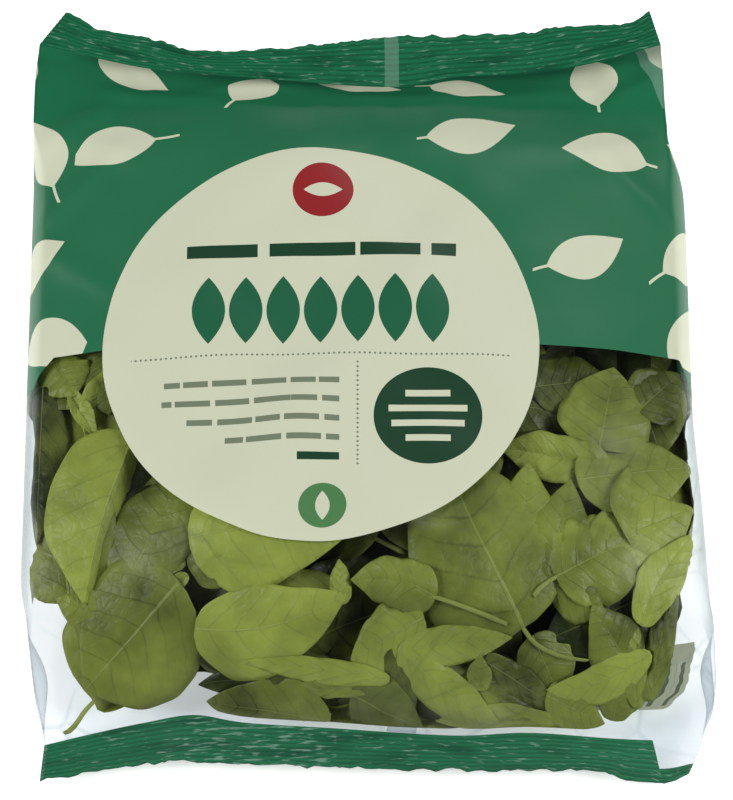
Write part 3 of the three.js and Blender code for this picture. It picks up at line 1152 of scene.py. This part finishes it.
# %% Stem, and many leaves as one piece
def stem_tube(leaf, start, sides=8, steps=7):
    """Round stem from the blade's base backward, bending a little: a closed tube."""
    _, _, ahead, aside = leaf_axes(leaf)
    share = np.linspace(-0.12, 1, steps + 1)
    sway = leaf.sway * share**2
    centre_xy = start[:2] - np.outer(share, ahead) * leaf.stem + np.outer(sway, aside) * leaf.stem
    z = np.full(steps + 1, start[2]) + leaf.pitch * -0.1 * share
    centre = settle(centre_xy[:, 0], centre_xy[:, 1], z, 0.0)
    below_film = read_map(high_map, centre[:, 0], centre[:, 1]) - stem_depth
    centre[:, 2] = np.minimum(centre[:, 2], below_film)
    radius = 0.82 + 0.25 * share
    radius[0], radius[-1] = 0.4, 0.8
    angle = np.linspace(0, 2 * np.pi, sides, endpoint=False)
    circle = np.outer(np.cos(angle), [*aside, 0.0]) + np.outer(np.sin(angle), [0.0, 0.0, 1.0])
    points = (centre[:, None] + radius[:, None, None] * circle).reshape(-1, 3)
    faces = triangles(grid_faces(steps + 1, sides, closed=True)[:, ::-1])
    last = len(points)
    points = np.vstack([points, centre[:1], centre[-1:]])
    ring_ids = np.arange(sides)
    cap_low = np.stack([np.roll(ring_ids, -1), ring_ids, np.full(sides, last)], 1)
    last_ring = ring_ids + sides * steps
    cap_high = np.stack([last_ring, np.roll(last_ring, -1), np.full(sides, last + 1)], 1)
    return points, np.concatenate([faces, cap_low[:, ::-1], cap_high[:, ::-1]])


def leaves_piece(name, leaves, along, across, material):
    """All the leaves of a list as one piece, with their own coordinates and tone."""
    points, faces, coordinates, tones, total = [], [], [], [], 0
    shell = shell_faces(along + 1, across + 1)
    for leaf in leaves:
        x, y, relief, u, a = leaf_sheet(leaf, along, across)
        downward = 1.0 if leaf.level is None or leaf.level > 0.5 else -1.0
        sheet = settle(x, y, leaf_height(leaf, x, y, relief), downward, leaf.cover)
        edge = np.abs(np.linspace(-1, 1, across + 1))[None, :, None]
        half = sheet_normals(sheet) * leaf_thickness / 2 * (1 - 0.6 * edge**8)
        parts = [(np.concatenate([(sheet + half).reshape(-1, 3), (sheet - half).reshape(-1, 3)]), shell,
                  np.tile(np.stack([u, (a + 1) / 2], -1).reshape(-1, 2), (2, 1)))]
        if leaf.stem:
            tube, tube_faces = stem_tube(leaf, sheet[0, across // 2])
            parts.append((tube, tube_faces, np.tile([-0.5, 0.5], (len(tube), 1))))
        for part, part_faces, part_uv in parts:
            points.append(part)
            faces.append(part_faces + total)
            coordinates.append(part_uv)
            # Painted light and shade: one half of the blade lighter and the other darker, as if they faced
            # the light differently
            tones.append(leaf.tone + leaf.painted_half_light * (2 * part_uv[:, 1] - 1))
            total += len(part)
    add_piece(
        name, np.concatenate(points), np.concatenate(faces), material,
        attributes=[("tone", np.concatenate(tones))], uv=("leaf", np.concatenate(coordinates)),
    )


# %% [markdown]
# ## Surface of the leaves
# A leaf is satin, paler along its midrib, and glows a little when light comes from behind. An
# image of a leaf could be laid on, but it would look the same on every leaf. Here the veins follow
# each leaf's own coordinates, with painted shade in their grooves, and patches of painted light
# and shade come from noise in space, so that no two are alike.

# %% Leaf material
leaf_dark, leaf_light = srgb(32, 43, 0), srgb(167, 180, 77)
rib_colour = srgb(172, 184, 100)


def leaf_material():
    """Satin green by tone, with painted light and shade in broad patches, a pale midrib, arched side veins
    with painted shade in their grooves, and some light let through.
    """
    material, tree, output = new_material("leaf")
    u, across = uv_fields(tree, "leaf")
    a = (across * 2.0 - 1.0).size()
    tone = attribute_field(tree, "tone")
    place = object_place(tree)
    mottle = noise_field(tree, place, 70.0, 3.0)
    warp = noise_field(tree, place, 110.0, 1.0)
    cells = edge_field(tree, place, 300.0)
    branch = u * vein_count - a.math("POWER", vein_curve) * vein_slant + (warp - 0.5) * 0.4
    line = (branch.math("FRACT") - 0.5).size()
    blister = noise_field(tree, place, 150.0, 1.5)
    # Painted shade in the sunken side veins
    vein_groove_shade = (line * -14.0 + 1.0).either(0.0) * (1.0 - a)
    rib = ((u * -0.024 + 0.034 - a) * 50.0).between(0.0, 1.0).either(u.below(-0.1))
    # Broad patches of painted light and shade over each leaf
    patch_shade = noise_field(tree, place, 28.0, 1.0)
    shade = tone + (mottle - 0.5) * 0.6 + (patch_shade - 0.5) * 0.8 + (blister - 0.5) * 0.25 - vein_groove_shade * 0.17
    shade = shade.between(0.0, 1.0)
    blade = mixed_colour(tree, shade, leaf_dark, leaf_light)
    colour = mixed_colour(tree, rib * 0.38, blade, rib_colour)

    height = line.math("POWER", 0.6) * 0.9 + cells.math("POWER", 0.5) * 0.35 + blister * 1.3
    height = height + mottle - rib * 0.4
    bump = add_node(tree, "ShaderNodeBump", Strength=0.7, Distance=0.0008, Height=height)
    surface = satin(tree, colour, 0.44, 0.34, bump.outputs[0])
    through = add_node(tree, "ShaderNodeBsdfTranslucent", Color=colour, Normal=bump.outputs[0])
    tree.links.new(mixed_shader(tree, 0.12, surface, through.outputs[0]), output.inputs[0])
    return material


leaf_green = leaf_material()
print("leaf tones from", np.round(leaf_dark, 3), "to", np.round(leaf_light, 3))

# %% [markdown]
# ## Leaves under the front film
# These are the leaves that the photo shows, each from the base of its blade to its tip, in
# millimetres on the bag. Depth is measured down from the film, so a smaller depth lies on top.

# %% Leaves in sight
# Tones are partly each leaf's own green and partly painted shade, low for the leaves that lie deeper
front_leaves = [
    Leaf((-66, -87.5), (-100, -117), 45.5, 2.6, 0.46, cup=-2.5, wave=0.8, painted_half_light=0.05),
    Leaf((-97, -119), (-72, -90), 46, 5.0, 0.60, fold=(0.0, -1.2), cup=-1.0, stem=16.0),
    Leaf((-90, -96), (-110, -89), 14, 4.4, 0.62),
    Leaf((-82, -31), (-100, -92), 46, 1.4, 0.84, bend=-0.03, fold=(-1.0, 0.1), cup=-1.0, wave=0.6),
    Leaf((-84, -87), (-66, -48), 32, 3.4, 0.34, cup=-2.0, tilt=-2.0, swell=0.3),
    Leaf((-105, -90), (-103, -34), 38, 5.0, 0.46, cup=-2.0, bend=0.06),
    Leaf((-63, -85), (-82, -90), 6, 3.0, 0.62, bend=0.1, cup=1.0),
    Leaf((-64, -80), (-84, -85), 8, 3.6, 0.34, cup=1.0),
    Leaf((-88, -4), (-99, -34), 24, 1.6, 0.85, fold=(0.0, 0.7), cup=-1.0),
    Leaf((-112, 2), (-104, -14), 20, 3.0, 0.62, cup=-2.0),
    Leaf((-95, 4), (-92, -22), 22, 5.0, 0.30),
    Leaf((-106, -12), (-96, -32), 7, 1.2, 0.80, cup=2.0),
    Leaf((-116, -8), (-117, -70), 20, 3.5, 0.18, cup=-3.0),
    Leaf((-63, -74), (-8, -76), 40, 1.2, 0.90, bend=0.05, cup=-2.5, wave=0.7, swell=0.7),
    Leaf((-61, -101), (-7, -94), 25, 1.9, 0.84, bend=-0.09, cup=-1.0, wave=0.5),
    Leaf((-8, -93), (-54, -95), 17, 2.8, 0.34, bend=-0.04, tilt=2.5, cup=1.5),
    Leaf((55, -103), (26, -42), 56, 2.2, 0.48, bend=0.03, cup=-3.0, swell=0.8, painted_half_light=-0.12,
         stem=17.0, sway=-1.0),
    Leaf((24, -96), (-6, -90), 17, 0.9, 0.46, bend=-0.08, cup=-1.5, wave=1.6, swell=0.9, painted_half_light=-0.15,
         stem=26.0, sway=0.05),
    Leaf((20, -101), (-6, -112), 19, 1.8, 0.66, cup=-1.0, wave=1.8, swell=1.1, painted_half_light=0.15),
    Leaf((-9, -97), (-10, -83), 8, 2.0, 0.72, wave=1.2),
    Leaf((12, -110), (51, -106), 11, 1.4, 0.74, cup=-2.0, wave=0.5),
    Leaf((11, -109), (47, -128), 13, 1.6, 0.68, bend=-0.05, cup=-2.0, painted_half_light=0.1),
    Leaf((20, -113), (64, -126), 12, 2.4, 0.36, tilt=-3.0, painted_half_light=-0.3),
    Leaf((39, -120), (40, -111), 9, 2.2, 0.62),
    Leaf((41, -112), (68, -123), 9, 2.6, 0.34, tilt=2.0),
    Leaf((58, -104), (69, -122), 22, 3.4, 0.44, tilt=-2.0, painted_half_light=0.15),
    Leaf((74, -128), (24, -127), 9, 1.4, 0.66, cup=1.5),
    Leaf((63, -120), (84, -127), 13, 1.8, 0.62, wave=1.2),
    Leaf((8, -117), (-46, -111), 6.5, 1.3, 0.80, wave=0.5, cup=-1.5),
    Leaf((-12, -113), (-60, -115), 14, 3.4, 0.16, tilt=2.0),
    Leaf((-13, -127), (-57, -120), 17, 2.2, 0.34, cup=-1.0, painted_half_light=-0.12),
    Leaf((3, -119), (-29, -118), 5, 1.8, 0.50, cup=1.0),
    Leaf((-6, -120), (20, -129), 16, 2.6, 0.20, tilt=2.5, painted_half_light=0.15),
    Leaf((8, -107), (16, -126), 12, 2.9, 0.12),
    Leaf((82, -37), (88, -4), 34, 3.2, 0.56, cup=-2.0, painted_half_light=0.06),
    Leaf((74, -50), (116, -40), 32, 2.6, 0.62, cup=-2.0, tilt=-1.5),
    Leaf((86, -43), (46, -38), 20, 1.6, 0.64, fold=(0.0, 0.6), cup=-2.0, wave=1.2),
    Leaf((58, -13), (86, -7), 24, 6.0, 0.20),
    Leaf((96, -20), (112, -2), 24, 4.0, 0.26),
    Leaf((66, -87), (98, -69), 32, 1.7, 0.62, cup=-1.5, wave=1.6, swell=1.2, painted_half_light=0.1,
         stem=10.0, sway=-0.2),
    Leaf((80, -77), (116, -56), 27, 2.6, 0.74, cup=-2.0, wave=1.4),
    Leaf((64, -87), (72, -50), 20, 3.0, 0.50, swell=0.8),
    Leaf((55, -80), (57, -44), 20, 4.0, 0.56),
    Leaf((65, -88), (84, -97), 14, 3.0, 0.36, tilt=2.0),
    Leaf((96, -100), (116, -66), 15, 1.1, 1.02, cup=-1.5, bend=0.04, wave=0.4),
    Leaf((94, -114), (79, -95), 20, 2.2, 0.36, cup=-1.5, painted_half_light=0.2),
    Leaf((100, -108), (63, -119), 11, 1.2, 0.86, bend=0.08, cup=-1.5, wave=0.4),
    Leaf((87, -126), (91, -108), 15, 2.8, 0.44),
    Leaf((95, -123), (95, -99), 9, 2.4, 0.56, tilt=1.5),
    Leaf((99, -121), (109, -82), 10, 2.6, 0.40, tilt=-2.0),
    Leaf((-40, -84), (-62, -60), 34, 4.0, 0.30, tilt=2.0),
]
for number, leaf in enumerate(front_leaves):
    leaf.seed = 0.37 * number
leaves_piece("leaves_front", front_leaves, 36, 20, leaf_green)

# %% [markdown]
# ## Leaves further down
# Behind the leaves in sight lies the rest of the heap, seen in the gaps, at the sides and from
# below. It could be copies of one leaf, but seeded random sizes, turns and folds look more like a
# real heap. The heap ends behind the green print, which hides what lies there.

# %% Leaves that fill the bag
random = np.random.default_rng(7)
# Bounds for the middles of the leaves
half_heap, lowest_leaf, highest_leaf = 112, -126, 42
# The heap's side borders as seen from above, [y, x]
heap_left = [
    (-130, -10), (-128, -42), (-121, -58), (-108, -66), (-92, -104), (-71, -116), (7, -118), (120, -118),
]
heap_right = [
    (-130, 61), (-127, 82), (-117, 100), (-103, 104), (-89, 109), (-69, 112), (7, 114), (120, 110),
]


def inside_heap(points):
    """True where all points lie in the photo's heap: clear corners stay empty at the bottom end."""
    x, y = np.array(points).T
    left, right = (np.interp(y, *np.array(line, float).T) for line in (heap_left, heap_right))
    return bool(np.all((x > left) & (x < right) & (y > heap_left[0][0])))


def scattered(
    count, levels, tilt, tones, stems=0.5, wall=None, lowest=lowest_leaf, depths=None, cover=0.3
):
    """Leaves at random places of the heap, by level or by depth; wall sets them along one side."""
    leaves = []
    while len(leaves) < count:
        middle = np.array([random.uniform(-half_heap, half_heap), random.uniform(lowest, highest_leaf)])
        heading = random.uniform(0, 2 * np.pi)
        if wall is not None:
            middle[0] = wall * random.uniform(98, 106)
            heading = np.pi / 2 * random.choice([1, -1]) + random.normal(0, 0.25)
        length = random.uniform(34, 62)
        width = length * random.uniform(0.55, 0.8)
        ahead = np.array([np.cos(heading), np.sin(heading)]) * length / 2
        aside = np.array([-np.sin(heading), np.cos(heading)]) * width / 2
        ends = [middle - ahead, middle + ahead]
        sides = [middle - aside, middle + aside] if wall is None else []
        if not inside_heap(ends + sides):
            continue
        leaves.append(Leaf(
            tuple(ends[0]), tuple(ends[1]), width, tone=random.uniform(*tones), bend=random.normal(0, 0.05),
            tilt=random.normal(0, tilt), pitch=random.normal(0, tilt * 1.5), cup=random.normal(-1, 2.5),
            wave=random.uniform(0.5, 1.8), fold=(abs(random.normal(0, 0.3)), 0.0),
            stem=random.uniform(8, 18) * (random.random() < stems), sway=random.normal(0, 0.2),
            level=None if depths else random.uniform(*levels), depth=random.uniform(*(depths or (1, 2))),
            cover=cover, seed=random.uniform(0, 6),
        ))
    return leaves


# The upper and inner leaves get darker tones than the rest: painted shade deep in the heap
upper = scattered(52, None, 5.0, (-0.1, 0.34), 0.25, depths=(6.0, 15.0))
leaves_piece("leaves_upper", upper, 22, 14, leaf_green)
inner = scattered(90, (0.2, 0.7), 9.0, (-0.1, 0.25), cover=12.0)
leaves_piece("leaves_inner", inner, 18, 12, leaf_green)
sides = scattered(14, (0.2, 0.9), 8.0, (0.1, 0.7), wall=-1, lowest=-45)
sides += scattered(16, (0.2, 0.9), 8.0, (0.1, 0.7), wall=1, lowest=-80)
flat_on_back = scattered(48, (0.04, 0.12), 2.0, (0.3, 0.7))
leaves_piece("leaves_back", flat_on_back + sides, 20, 12, leaf_green)
